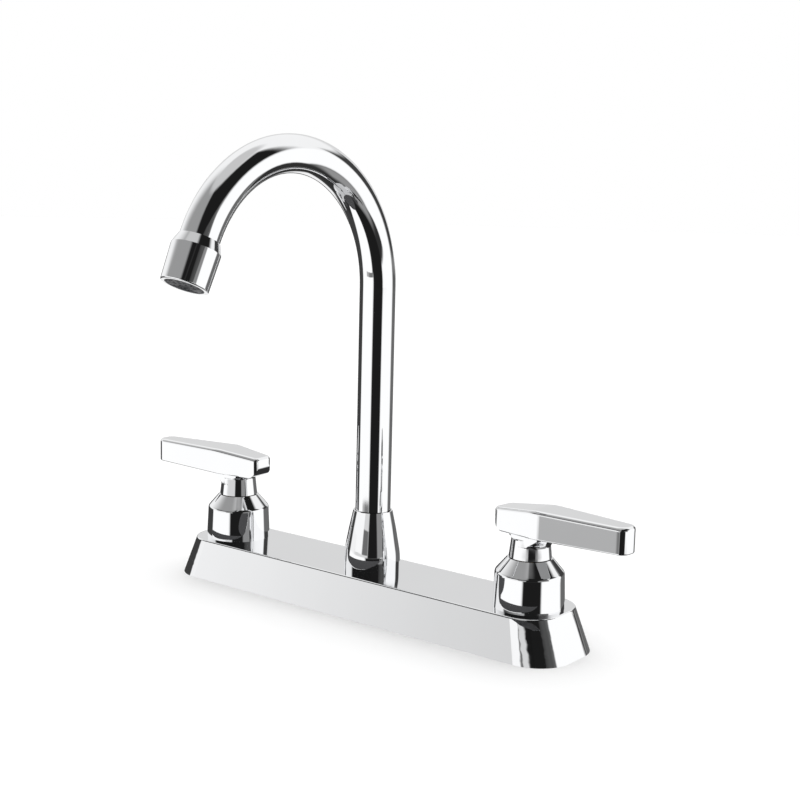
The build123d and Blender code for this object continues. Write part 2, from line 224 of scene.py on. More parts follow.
def plastic():
    """Dark moulded plastic with a fine eroded grain."""
    finish = Finish("dark_plastic", (0.055, 0.055, 0.06), metallic=0.0, roughness=0.42)
    grain = finish.noise(4200.0, detail=3.0)
    clouds = finish.noise(150.0, detail=3.0)
    finish.tint(clouds, (0.045, 0.045, 0.05), (0.07, 0.07, 0.075))
    finish.roughen(finish.ramp(grain, 0.3, 0.7, 0.36, 0.52))
    finish.emboss(grain, 0.01 * MM)
    return finish.material


def paint(material, nodes):
    """Gives CAD nodes a material."""
    for node in nodes:
        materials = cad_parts[node].data.materials
        materials.clear()
        materials.append(material)


# Settings


def length(name, description, millimetres):
    """Length setting with a default in millimetres."""
    return FloatProperty(name=name, description=description, default=millimetres * MM, unit="LENGTH")


def angle(name, description, degrees):
    """Angle setting with a default in degrees."""
    return FloatProperty(name=name, description=description, default=radians(degrees), unit="ROTATION")


def color(name, description, default):
    """Colour setting."""
    return FloatVectorProperty(
        name=name, description=description, default=default, subtype="COLOR", min=0.0, max=1.0,
    )


class MixerColours(bpy.types.PropertyGroup):
    """Colours and gloss of the mixer."""

    chrome_color: color("Chrome colour", "Colour that the chrome plate reflects", (0.93, 0.935, 0.945))
    chrome_roughness: FloatProperty(
        name="Chrome roughness", description="Blur of the chrome's reflections", default=0.02,
        min=0.0, max=1.0,
    )
    brass_color: color("Brass colour", "Colour of clean machined brass", (0.78, 0.6, 0.32))


class MixerSizes(bpy.types.PropertyGroup):
    """Sizes that the carved pieces share with the CAD nodes, and those of their fine relief."""

    handle_x: length("Handle axis", "From the spout's axis to a handle's axis", 101.6)

    shank_radius: length("Shank radius", "Outer radius of the threaded shanks", 10.48)
    pipe_pitch: length("Pipe thread pitch", "Rise of the shanks' thread in one turn", 1.814)
    thread_top: length("Thread top", "How far below the deck the shanks' thread runs out", 1.0)
    shank_bevel: length("Shank bevel", "Bevel at the foot of a shank", 1.1)
    collar_radius: length("Collar radius", "Outer radius of a valve body's collar", 12.0)
    collar_bevel: length("Collar bevel", "Bevel at the top of a collar", 0.5)

    nut_corner: length("Lock nut corner", "Radius to the corners of a lock nut", 18.48)
    nut_bevel: length("Lock nut bevel", "Width of the bevel on a lock nut's corners", 3.08)
    nut_countersink: length("Lock nut countersink", "Bevel at a lock nut's bore", 1.0)
    washer_bevel: length("Washer bevel", "Bevel at the rolled edge of a washer", 0.5)
    washer_burr_bevel: length("Washer burr bevel", "Bevel at the sheared edge of a washer", 0.25)
    washer_bore_bevel: length("Washer bore bevel", "Bevel at the bore of a washer", 0.4)

    headwork_radius: length("Headwork radius", "Outer radius of the thread in the collar", 10.45)
    hex_height: length("Hexagon height", "Height of the headwork's hexagon", 4.0)
    hex_corner: length("Hexagon corner", "Radius to the corners of the headwork's hexagon", 12.7)
    hex_bevel: length("Hexagon bevel", "Width of the bevel on the hexagon's corners", 2.1)
    neck_radius: length("Neck radius", "Outer radius of the headwork's threaded neck", 7.0)
    neck_pitch: length("Fine thread pitch", "Rise of the headwork's threads in one turn", 1.0)
    neck_bevel: length("Neck bevel", "Bevel at the top of the headwork's neck", 0.7)
    neck_undercut: length("Neck undercut", "From the hexagon up to the neck's thread", 1.2)
    collar_thread_top: length("Collar thread top", "From the hexagon down to the collar's thread", 0.8)
    collar_thread_foot: length("Collar thread foot", "From the hexagon down to that thread's foot", 8.8)

    grips: IntProperty(name="Grips", description="Number of grips round a bell nut", default=36, min=3)
    grip_depth: length("Grip depth", "Depth of the grips round a bell nut", 0.45)
    bell_nut_bevel: length("Bell nut bevel", "Bevel at the rim of a bell nut", 0.6)
    bell_nut_countersink: length("Bell nut countersink", "Bevel at a bell nut's bore", 0.5)

    spline_radius: length("Spline radius", "Outer radius of the spindle's splined end", 4.0)
    splines: IntProperty(name="Splines", description="Number of splines on a spindle", default=20, min=3)
    spline_depth: length("Spline depth", "Depth of the slots between the splines", 0.4)
    spline_start: length("Spline start", "From the bell nut to the splines", 0.6)
    spindle_bevel: length("Spindle bevel", "Bevel at the top of a spindle", 0.6)
    slot_half_width: length("Slot half width", "Half the width of a grip's or spline's slot", 0.5)

    lever_forward: angle("Lever angle", "How far the closed levers stand forward", 4.5)
    screw_radius: length("Screw radius", "Outer radius of a set screw", 2.5)
    screw_pitch: length("Screw pitch", "Rise of a set screw's thread in one turn", 0.8)
    screw_length: length("Screw length", "Length of a set screw", 5.4)
    screw_point: length("Screw point", "Bevel at a set screw's point", 1.0)
    screw_bevel: length("Screw bevel", "Bevel at a set screw's outer end", 0.4)

    bend_radius: length("Bend radius", "Radius of the gooseneck's centre line", 67.5)
    bend_centre: length("Bend height", "Height of the gooseneck's centre over the deck", 175.0)
    bend_sweep: angle("Bend angle", "How far the gooseneck bends over", 156.0)
    aerator_face: length("Aerator face", "From the end of the bend to the aerator's outer face", 21.8)
    hole_pitch: length("Hole pitch", "Distance between the aerator's rings of holes", 3.4)
    hole_radius: length("Hole radius", "Radius of the aerator's holes", 0.9)
    hole_countersink: length("Hole countersink", "Bevel at the aerator's holes", 0.4)
    hole_rings: IntProperty(name="Hole rings", description="Rings of holes round the middle one", default=2)
    first_ring_holes: IntProperty(
        name="First ring", description="Holes in the ring next to the middle one", default=6, min=1,
    )


class MixerStudio(bpy.types.PropertyGroup):
    """Floor, light and camera."""

    floor_radius: length("Floor radius", "Radius of the round floor", 6000.0)
    floor_color: color("Floor colour", "Colour of the plain floor", (0.9, 0.9, 0.9))
    # The dark mats are sheets that only polished metal shows: they paint dark reflections
    reflection_mat_height: length("Mat height", "Height of the dark mats, which is the plinth's", 22.0)
    reflection_mat_start: length("Mat start", "From the handles' plane to the mats, just before the plinth", 23.2)
    front_reflection_mat_radius: length("Front mat", "Radius of the mat before the spout nut", 72.0)
    side_reflection_mat_radius: length("Side mats", "Radius of the mats before the bells", 40.0)
    tent_strength: FloatProperty(
        name="Tent light", description="Brightness of the tent round the object", default=1.0, min=0.0,
    )
    top_light_strength: FloatProperty(
        name="Top light", description="Strength of the soft light overhead", default=0.9, min=0.0,
    )
    top_light_spread: angle("Top light spread", "Angle that the soft light overhead fills", 120.0)
    camera_target: FloatVectorProperty(
        name="Camera target", description="Point that the camera looks at", subtype="TRANSLATION",
        default=(16.81 * MM, 0.0, 116.18 * MM),
    )
    camera_distance: length("Camera distance", "From the camera to the point it looks at", 738.8)
    camera_yaw: angle("Camera yaw", "How far the camera stands round to the right", 37.98)
    camera_pitch: angle("Camera pitch", "How far the camera looks down", 9.09)
    camera_roll: angle("Camera roll", "Tilt of the picture", 1.39)
    camera_lens: FloatProperty(
        name="Lens", description="Focal length on a 36 mm sensor, in millimetres", default=62.98,
    )
    camera_near: length("Camera near limit", "Nearest thing that the camera shows", 10.0)


# Finishes of the CAD nodes


class MIXER_OT_chrome_trim(bpy.types.Operator):
    """Polished chrome on the plinth, the nut, the spout, the bells and the levers."""

    bl_idname = "mixer.chrome_trim"
    bl_label = "Chrome trim"

    def execute(self, context):
        paint(chrome("chrome_plinth", 22.0, 0.004 * MM), ["base_cover"])
        turned = ["spout_nut", "nozzle"] + both_sides("bell_cover")
        paint(chrome("chrome_turned", 45.0, 0.0015 * MM), turned)
        paint(chrome("chrome_tube", 30.0, 0.002 * MM), ["spout_tube"])
        paint(chrome("chrome_cast", 70.0, 0.006 * MM), both_sides("handle"))
        return {"FINISHED"}


class MIXER_OT_brass_works(bpy.types.Operator):
    """Machined brass on the bodies, tubes, headworks, spindles and nuts."""

    bl_idname = "mixer.brass_works"
    bl_label = "Brass works"

    def execute(self, context):
        nodes = ["spout_hub", "spout_spigot", "lock_nuts"]
        for name in ("valve_body", "cross_tube", "cartridge_body", "bell_nut", "spindle"):
            nodes += both_sides(name)
        paint(brass(), nodes)
        return {"FINISHED"}


class MIXER_OT_seals(bpy.types.Operator):
    """Rubber on the gasket, the rings and the washers."""

    bl_idname = "mixer.seals"
    bl_label = "Seals"

    def execute(self, context):
        nodes = ["deck_gasket", "spout_o_rings", "aerator_washer"]
        paint(rubber(), nodes + both_sides("cartridge_seal") + both_sides("spindle_o_ring"))
        return {"FINISHED"}


class MIXER_OT_ceramic_discs(bpy.types.Operator):
    """Lapped ceramic on the four valve discs."""

    bl_idname = "mixer.ceramic_discs"
    bl_label = "Ceramic discs"

    def execute(self, context):
        paint(ceramic(), both_sides("fixed_disc") + both_sides("turning_disc"))
        return {"FINISHED"}


class MIXER_OT_steel_hardware(bpy.types.Operator):
    """Plated steel on the washers, the retaining ring and the set screws."""

    bl_idname = "mixer.steel_hardware"
    bl_label = "Steel hardware"

    def execute(self, context):
        paint(steel(), ["deck_washers", "spout_retaining_ring"] + both_sides("set_screw"))
        return {"FINISHED"}


class MIXER_OT_plastic_inserts(bpy.types.Operator):
    """Dark plastic on the aerator and the bearing washer."""

    bl_idname = "mixer.plastic_inserts"
    bl_label = "Plastic inserts"

    def execute(self, context):
        paint(plastic(), ["aerator_insert", "spout_bearing_washer"])
        return {"FINISHED"}


# Carved pieces


def linked(name, data):
    """Object of some data, linked to the scene."""
    made = bpy.data.objects.new(name, data)
    bpy.context.scene.collection.objects.link(made)
    return made


def meshed(name, mesh):
    """Object of a bmesh, which is freed."""
    data = bpy.data.meshes.new(name)
    mesh.to_mesh(data)
    mesh.free()
    return linked(name, data)


def drop(*objects):
    """Removes helper objects and their meshes."""
    for spent in objects:
        data = spent.data
        bpy.data.objects.remove(spent)
        bpy.data.meshes.remove(data)


def blank_of(node, hot_half=False):
    """Closed copy of a CAD node's mesh, or of its hot half."""
    mesh = bmesh.new()
    mesh.from_mesh(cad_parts[node].data)
    bmesh.ops.remove_doubles(mesh, verts=mesh.verts, dist=JOIN_WITHIN)
    if hot_half:
        bmesh.ops.delete(mesh, geom=[vert for vert in mesh.verts if vert.co.x > 0], context="VERTS")
    return meshed(node + "_blank", mesh)


def carved(name, blank, *cutters):
    """The blank with all its cutters taken out, shaded smooth between its hard edges."""
    mesh = bmesh.new()
    for cutter in cutters:
        mesh.from_mesh(cutter.data)
    drop(*cutters)
    cutter = meshed("cutter", mesh)
    carving = blank.modifiers.new("carving", "BOOLEAN")
    carving.object = cutter
    carving.operation = "DIFFERENCE"
    carving.solver = "EXACT"
    carving.use_self = True
    graph = bpy.context.evaluated_depsgraph_get()
    data = bpy.data.meshes.new_from_object(blank.evaluated_get(graph))
    drop(blank, cutter)
    data.name = name
    data.materials.clear()
    for face in data.polygons:
        face.use_smooth = True
    data.set_sharp_from_angle(angle=HARD_EDGE)
    return linked(name, data)


def half_turned(piece, name):
    """Copy of a piece, turned half round the spout's axis onto the other side."""
    data = piece.data.copy()
    data.name = name
    data.transform(Matrix.Rotation(pi, 4, "Z"))
    return linked(name, data)


def both_in_one(name, hot):
    """One object of a hot piece and its half-turned copy."""
    cold = half_turned(hot, name + "_cold")
    mesh = bmesh.new()
    mesh.from_mesh(hot.data)
    mesh.from_mesh(cold.data)
    drop(hot, cold)
    return meshed(name, mesh)


def ring_point(place, turn, radius, height):
    """Point at a turn and radius round a place's Z axis."""
    return place @ Vector((cos(turn) * radius, sin(turn) * radius, height))


def bridge(mesh, near, far):
    """Faces between two rings of vertices."""
    for corner in range(len(near)):
        after = (corner + 1) % len(near)
        mesh.faces.new((near[corner], near[after], far[after], far[corner]))


def closed_loft(mesh, sections):
    """Skins sections of points and closes both ends."""
    rings = [[mesh.verts.new(point) for point in section] for section in sections]
    for near, far in zip(rings, rings[1:]):
        bridge(mesh, near, far)
    mesh.faces.new(list(reversed(rings[0])))
    mesh.faces.new(rings[-1])


def cutter_of(name, mesh):
    """Object of a cutter's bmesh, with its faces turned outward."""
    bmesh.ops.recalc_face_normals(mesh, faces=mesh.faces)
    return meshed(name, mesh)


def thread_groove(place, radius, pitch, bottom, top):
    """Cutter for an outside thread round a place's Z axis, growing shallow over its last turn."""
    proud = 0.1 * MM
    per_turn = 40
    last_depth = 0.02
    mouth, root = THREAD_MOUTH / 2 * pitch, THREAD_ROOT / 2 * pitch
    steps = int((top - bottom) / pitch * per_turn)
    sections = []
    for step in range(steps + 1):
        turn = 2 * pi * step / per_turn
        height = bottom + pitch * step / per_turn
        depth = THREAD_DEPTH * pitch * min(1, (steps - step) / per_turn + last_depth)
        section = ((proud, mouth), (proud, -mouth), (-depth, -root), (-depth, root))
        sections.append([ring_point(place, turn, radius + out, height + rise) for out, rise in section])
    mesh = bmesh.new()
    closed_loft(mesh, sections)
    return cutter_of("groove", mesh)


def bevel_cutter(places, start, reach, height, side, slope, facets):
    """Conical cutters at places, from a radius on the face at a height to the radius that they reach."""
    proud = 0.2 * MM if reach > start else -0.2 * MM
    over = height + side * abs(proud) * slope
    under = height - side * abs(reach - start) * slope
    section = ((start - proud, over), (reach, under), (reach, over))
    mesh = bmesh.new()
    for place in places:
        rings = []
        for step in range(facets):
            turn = 2 * pi * step / facets
            rings.append([mesh.verts.new(ring_point(place, turn, radius, z)) for radius, z in section])
        for near, far in zip(rings, rings[1:] + rings[:1]):
            bridge(mesh, near, far)
    return cutter_of("bevel", mesh)


def edge_bevel(places, radius, bevel, height, side, slope=1.0, facets=72):
    """Cutter for a bevel on an outside edge, on a face that looks up (side 1) or down (side -1)."""
    return bevel_cutter(places, radius - bevel, radius + PAST_EDGE, height, side, slope, facets)


def bore_bevel(places, radius, bevel, height, side, slope=1.0, facets=72):
    """Cutter for a bevel at a bore, on a face that looks up (side 1) or down (side -1)."""
    return bevel_cutter(places, radius + bevel, radius - PAST_BORE, height, side, slope, facets)


def slot_cutter(place, count, radius, depth, half_width, bottom, top):
    """Cutter for V slots all round a place's Z axis."""
    proud = 0.05 * MM
    section = ((radius - depth, 0), (radius + proud, half_width), (radius + proud, -half_width))
    mesh = bmesh.new()
    for slot in range(count):
        turned = place @ Matrix.Rotation(2 * pi * slot / count, 4, "Z")
        closed_loft(mesh, [[turned @ Vector((x, y, z)) for x, y in section] for z in (bottom, top)])
    return cutter_of("slots", mesh)


def dress(piece, body, node):
    """Puts a piece on its body and over the CAD node that it stands for."""
    piece.data.materials.append(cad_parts[node].data.materials[0])
    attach(piece, body)
    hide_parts(node)


def dress_both(hot, kind, node, bodies=("mixer_body", "mixer_body")):
    """Dresses a hot piece and its half-turned cold copy, with their bodies in that order."""
    cold = half_turned(hot, "cold_" + kind)
    dress(hot, bodies[0], "hot_" + node)
    dress(cold, bodies[1], "cold_" + node)


def handle_place(sizes, side):
    """Frame of a handle's axis on the deck."""
    return Matrix.Translation((sizes.handle_x if side == "cold" else -sizes.handle_x, 0, 0))


class MIXER_OT_valve_bodies(bpy.types.Operator):
    """Valve bodies with a pipe thread down each shank and bevelled ends."""

    bl_idname = "mixer.valve_bodies"
    bl_label = "Valve bodies"

    def execute(self, context):
        sizes = context.scene.mixer_sizes
        node = "hot_valve_body"
        place = handle_place(sizes, "hot")
        foot, top = low(node)[2], high(node)[2]
        radius, pitch = sizes.shank_radius, sizes.pipe_pitch
        hot = carved(
            "hot_threaded_body", blank_of(node),
            thread_groove(place, radius, pitch, foot - pitch, -sizes.thread_top),
            edge_bevel([place], radius, sizes.shank_bevel, foot, -1),
            edge_bevel([place], sizes.collar_radius, sizes.collar_bevel, top, 1),
        )
        dress_both(hot, "threaded_body", "valve_body")
        return {"FINISHED"}


class MIXER_OT_lock_nuts(bpy.types.Operator):
    """Lock nuts with chamfered corners and a countersunk bore."""

    bl_idname = "mixer.lock_nuts"
    bl_label = "Lock nuts"

    def execute(self, context):
        sizes = context.scene.mixer_sizes
        node = "lock_nuts"
        places = [handle_place(sizes, "hot")]
        corner, bevel = sizes.nut_corner, sizes.nut_bevel
        bore, countersink = sizes.shank_radius, sizes.nut_countersink
        cutters = []
        for height, side in ((high(node)[2], 1), (low(node)[2], -1)):
            cutters.append(edge_bevel(places, corner, bevel, height, side, HEXAGON_SLOPE))
            cutters.append(bore_bevel(places, bore, countersink, height, side))
        hot = carved("hot_chamfered_nut", blank_of(node, hot_half=True), *cutters)
        dress(both_in_one("chamfered_lock_nuts", hot), "mixer_body", node)
        return {"FINISHED"}


class MIXER_OT_deck_washers(bpy.types.Operator):
    """Washers with one rolled and one sheared edge, as a press leaves them."""

    bl_idname = "mixer.deck_washers"
    bl_label = "Deck washers"

    def execute(self, context):
        sizes = context.scene.mixer_sizes
        node = "deck_washers"
        places = [handle_place(sizes, "hot")]
        bottom, top = low(node)[2], high(node)[2]
        rim = high(node)[1]
        hot = carved(
            "hot_blanked_washer", blank_of(node, hot_half=True),
            edge_bevel(places, rim, sizes.washer_bevel, top, 1),
            edge_bevel(places, rim, sizes.washer_burr_bevel, bottom, -1),
            bore_bevel(places, sizes.shank_radius, sizes.washer_bore_bevel, top, 1),
        )
        dress(both_in_one("blanked_washers", hot), "mixer_body", node)
        return {"FINISHED"}


class MIXER_OT_headworks(bpy.types.Operator):
    """Headworks with threads on the neck and in the collar, and a chamfered hexagon."""

    bl_idname = "mixer.headworks"
    bl_label = "Headworks"

    def execute(self, context):
        sizes = context.scene.mixer_sizes
        node = "hot_cartridge_body"
        place = handle_place(sizes, "hot")
        top = high(node)[2]
        collar_top = high("hot_valve_body")[2]
        hex_top = collar_top + sizes.hex_height
        pitch = sizes.neck_pitch
        neck_start = hex_top + sizes.neck_undercut
        screwed_foot = collar_top - sizes.collar_thread_foot
        screwed_top = collar_top - sizes.collar_thread_top
        hot = carved(
            "hot_threaded_headwork", blank_of(node),
            thread_groove(place, sizes.neck_radius, pitch, neck_start, top + PAST_TURNS * pitch),
            thread_groove(place, sizes.headwork_radius, pitch, screwed_foot, screwed_top),
            edge_bevel([place], sizes.neck_radius, sizes.neck_bevel, top, 1),
            edge_bevel([place], sizes.hex_corner, sizes.hex_bevel, hex_top, 1, HEXAGON_SLOPE),
        )
        dress_both(hot, "threaded_headwork", "cartridge_body")
        return {"FINISHED"}


class MIXER_OT_bell_nuts(bpy.types.Operator):
    """Thin nuts over the bells, with bevelled rims and fine grips all round."""

    bl_idname = "mixer.bell_nuts"
    bl_label = "Bell nuts"

    def execute(self, context):
        sizes = context.scene.mixer_sizes
        node = "hot_bell_nut"
        place = handle_place(sizes, "hot")
        bottom, top = low(node)[2] - PAST_EDGE, high(node)[2]
        rim = high(node)[1]
        depth, half_width = sizes.grip_depth, sizes.slot_half_width
        hot = carved(
            "hot_gripped_nut", blank_of(node),
            slot_cutter(place, sizes.grips, rim, depth, half_width, bottom, top + PAST_EDGE),
            edge_bevel([place], rim, sizes.bell_nut_bevel, top, 1),
            bore_bevel([place], sizes.neck_radius, sizes.bell_nut_countersink, top, 1),
        )
        dress_both(hot, "gripped_nut", "bell_nut")
        return {"FINISHED"}


class MIXER_OT_spindles(bpy.types.Operator):
    """Spindles with splines where the levers sit."""

    bl_idname = "mixer.spindles"
    bl_label = "Spindles"

    def execute(self, context):
        sizes = context.scene.mixer_sizes
        node = "hot_spindle"
        place = handle_place(sizes, "hot")
        top = high(node)[2]
        start = high("hot_bell_nut")[2] + sizes.spline_start
        radius, depth, half_width = sizes.spline_radius, sizes.spline_depth, sizes.slot_half_width
        hot = carved(
            "hot_splined_spindle", blank_of(node),
            slot_cutter(place, sizes.splines, radius, depth, half_width, start, top + PAST_EDGE),
            edge_bevel([place], radius, sizes.spindle_bevel, top, 1),
        )
        dress_both(hot, "splined_spindle", "spindle", ("hot_lever", "cold_lever"))
        return {"FINISHED"}


class MIXER_OT_set_screws(bpy.types.Operator):
    """Headless screws with a thread and a bevelled point in the backs of the levers' necks."""

    bl_idname = "mixer.set_screws"
    bl_label = "Set screws"

    def execute(self, context):
        sizes = context.scene.mixer_sizes
        radius, pitch = sizes.screw_radius, sizes.screw_pitch
        point = sizes.spline_radius
        end = point + sizes.screw_length
        for side in SIDES:
            node = side + "_set_screw"
            height = (low(node)[2] + high(node)[2]) / 2
            turn = -sizes.lever_forward if side == "cold" else sizes.lever_forward
            place = handle_place(sizes, side) @ Matrix.Rotation(turn, 4, "Z")
            place @= Matrix.Translation((0, 0, height)) @ Matrix.Rotation(-pi / 2, 4, "X")
            piece = carved(
                side + "_threaded_screw", blank_of(node),
                thread_groove(place, radius, pitch, point - pitch, end + PAST_TURNS * pitch),
                edge_bevel([place], radius, sizes.screw_point, point, -1, facets=40),
                edge_bevel([place], radius, sizes.screw_bevel, end, 1, facets=40),
            )
            dress(piece, side + "_lever", node)
        return {"FINISHED"}


class MIXER_OT_aerator(bpy.types.Operator):
    """Aerator whose water holes are countersunk."""

    bl_idname = "mixer.aerator"
    bl_label = "Aerator"

    def execute(self, context):
        sizes = context.scene.mixer_sizes
        node = "aerator_insert"
        bend = Matrix.Translation((0, -sizes.bend_radius, sizes.bend_centre))
        bend @= Matrix.Rotation(sizes.bend_sweep, 4, "X")
        mouth = bend @ Matrix.Translation((0, sizes.bend_radius, 0))
        places = [mouth]
        for ring in range(1, sizes.hole_rings + 1):
            holes = ring * sizes.first_ring_holes
            out = Matrix.Translation((ring * sizes.hole_pitch, 0, 0))
            for hole in range(holes):
                places.append(mouth @ Matrix.Rotation(2 * pi * hole / holes, 4, "Z") @ out)
        face = sizes.aerator_face
        cutter = bore_bevel(places, sizes.hole_radius, sizes.hole_countersink, face, 1, facets=32)
        piece = carved("countersunk_aerator", blank_of(node), cutter)
        dress(piece, "spout", node)
        return {"FINISHED"}


# Studio

FLOOR_SIDES = 96

# Name, left and right edge round from the camera, low and high edge, blur of the sides and of the ends, all
# in degrees, and grey. Each panel hides the ones above it in this list.
TENT_PANELS = (
    ("white cloth", -200, 200, -95, 95, 1, 1, 0.96),
    ("crown", -200, 200, 68, 95, 1, 10, 0.6),
    ("back wall", 150, 210, 2, 28, 20, 10, 0.72),
    ("ceiling fade", -110, 60, 20, 68, 60, 12, 0.33),
    ("ceiling", -12, 100, 24, 66, 14, 8, 0.012),
    ("low sky", -77, -2, -4, 13.5, 17, 2, 0.71),
    ("left gap light", -97, -42, 0.6, 12, 5, 1.5, 1.02),
    ("left gap shade", -42, -18, 0.6, 8.0, 6, 1.2, 0.16),
    ("right shade", 20, 62, -4, 23, 4, 6, 0.27),
    ("front band", -88, 44, 12.6, 26, 10, 2.2, 0.01),
    ("front band fade", 30, 62, 12.6, 26, 30, 2.2, 0.08),
    ("dark floor", -200, 200, -95, -16, 1, 6, 0.03),
    ("right rim", 104, 180, -17, -2, 5, 3, 0.15),
    ("left rim", -185, -104, -50, 3, 5, 4, 0.05),
    ("left back floor", -188, -154, -40, -18, 8, 4, 0.95),
    ("left softbox", -104, -31, -78, -3, 6, 2, 1.08),
    ("lever shade", -72, -50, -17.5, -13.3, 5, 0.4, 0.46),
    ("bell shade", -56, -26, -17.5, -13.3, 16, 0.4, 0.2),
    ("right softbox", 61, 116, -36, 20, 6, 6, 1.08),
    ("right low softbox", 37, 104, -15, -4, 6, 2, 1.08),
    ("low right fade", 40, 112, -62, -36, 20, 14, 0.3),
    ("right gap", 116, 150, -3, 25, 7, 8, 0.05),
    ("centre strip", -26, 34, -95, -3, 7, 3, 0.012),
    ("centre strip middle", -17, 23, -4, 14, 6, 3, 0.012),
    ("centre strip top", -3, 29, 12, 26, 5, 3, 0.012),
)
PANEL_SIZES = ("Centre", "Middle", "Half width", "Half height", "Side blur", "End blur", "Grey")


def panel_group():
    """Node group that lays one soft-edged panel over what is behind it."""
    group = bpy.data.node_groups.new("tent_panel", "ShaderNodeTree")
    for name in ("Turn", "Height", "Behind", *PANEL_SIZES):
        group.interface.new_socket(name, in_out="INPUT", socket_type="NodeSocketFloat")
    group.interface.new_socket("Seen", in_out="OUTPUT", socket_type="NodeSocketFloat")
    given = group.nodes.new("NodeGroupInput").outputs
    result = group.nodes.new("NodeGroupOutput").inputs["Seen"]

    def worked(operation, *values):
        """A sum of numbers and of other sockets."""
        made = group.nodes.new("ShaderNodeMath")
        made.operation = operation
        for socket, value in zip(made.inputs, values):
            if isinstance(value, (int, float)):
                socket.default_value = value
            else:
                group.links.new(value, socket)
        return made.outputs[0]

    def inside(offset, half, blur):
        """1 within half a panel's size from its middle, 0 beyond, with a soft edge."""
        fade = group.nodes.new("ShaderNodeMapRange")
        fade.interpolation_type = "SMOOTHSTEP"
        soft = worked("MULTIPLY", given[blur], 0.5)
        group.links.new(worked("ABSOLUTE", offset), fade.inputs["Value"])
        group.links.new(worked("ADD", given[half], soft), fade.inputs["From Min"])
        group.links.new(worked("SUBTRACT", given[half], soft), fade.inputs["From Max"])
        return fade.outputs["Result"]

    across = worked("WRAP", worked("SUBTRACT", given["Turn"], given["Centre"]), 180, -180)
    upward = worked("SUBTRACT", given["Height"], given["Middle"])
    width = inside(across, "Half width", "Side blur")
    cover = worked("MULTIPLY", width, inside(upward, "Half height", "End blur"))
    mix = group.nodes.new("ShaderNodeMix")
    group.links.new(cover, mix.inputs["Factor"])
    group.links.new(given["Behind"], mix.inputs["A"])
    group.links.new(given["Grey"], mix.inputs["B"])
    group.links.new(mix.outputs["Result"], result)
    return group


class Tent:
    """Builds the tent round the object: plain white, but with panels and dark gaps in polished metal."""

    def __init__(self, name):
        self.world = bpy.data.worlds.new(name)
        self.world.use_nodes = True
        self.world.cycles.sampling_method = "NONE"
        self.nodes = self.world.node_tree.nodes
        self.links = self.world.node_tree.links
        self.direction = self.nodes.new("ShaderNodeTexCoord").outputs["Generated"]

    def along(self, axis):
        """How far the direction points along an axis."""
        dot = self.nodes.new("ShaderNodeVectorMath")
        dot.operation = "DOT_PRODUCT"
        dot.inputs[1].default_value = axis
        self.links.new(self.direction, dot.inputs[0])
        return dot.outputs["Value"]

    def degrees(self, operation, *values):
        """An angle in degrees from one or two lengths."""
        found = self.nodes.new("ShaderNodeMath")
        found.operation = operation
        for socket, value in zip(found.inputs, values):
            self.links.new(value, socket)
        scaled = self.nodes.new("ShaderNodeMath")
        scaled.operation = "DEGREES"
        self.links.new(found.outputs[0], scaled.inputs[0])
        return scaled.outputs[0]

    def hang(self, panels, turn, height):
        """The grey in a direction, with each panel over the ones before it."""
        group = panel_group()
        seen = None
        for name, left, right, bottom, top, side_blur, end_blur, grey in panels:
            panel = self.nodes.new("ShaderNodeGroup")
            panel.node_tree = group
            panel.label = name
            middle = (left + right) / 2, (bottom + top) / 2
            half = (right - left) / 2, (top - bottom) / 2
            for socket, value in zip(PANEL_SIZES, (*middle, *half, side_blur, end_blur, grey)):
                panel.inputs[socket].default_value = value
            self.links.new(turn, panel.inputs["Turn"])
            self.links.new(height, panel.inputs["Height"])
            if seen:
                self.links.new(seen, panel.inputs["Behind"])
            seen = panel.outputs["Seen"]
        return seen

    def build(self, facing, panels, strength):
        """World with the panels in reflections and plain white elsewhere, facing an angle round Z."""
        ahead = (cos(facing), sin(facing), 0)
        aside = (-sin(facing), cos(facing), 0)
        turn = self.degrees("ARCTAN2", self.along(aside), self.along(ahead))
        height = self.degrees("ARCSINE", self.along((0, 0, 1)))
        glossy = self.nodes.new("ShaderNodeLightPath").outputs["Is Glossy Ray"]
        mix = self.nodes.new("ShaderNodeMix")
        mix.inputs["A"].default_value = 1.0
        self.links.new(glossy, mix.inputs["Factor"])
        self.links.new(self.hang(panels, turn, height), mix.inputs["B"])
        background = self.nodes["Background"]
        self.links.new(mix.outputs["Result"], background.inputs["Color"])
        background.inputs["Strength"].default_value = strength
        return self.world


def disc(name, radius, sides):
    """Flat disc on the origin."""
    mesh = bmesh.new()
    bmesh.ops.create_circle(mesh, cap_ends=True, radius=radius, segments=sides)
    return meshed(name, mesh)


def cut_disc(name, centre, start, radius, height):
    """The part of a flat disc before a start line. The disc's centre is on the X axis, at a height."""
    steps = 32
    mesh = bmesh.new()
    rows = []
    for step in range(steps + 1):
        turn = pi * step / steps
        side = centre + radius * cos(turn)
        front = max(start, radius * sin(turn))
        rows.append([mesh.verts.new((side, -reach, height)) for reach in (start, front)])
    for near, far in zip(rows, rows[1:]):
        if near[1].co != near[0].co or far[1].co != far[0].co:
            mesh.faces.new((near[0], far[0], far[1], near[1]))
    return meshed(name, mesh)


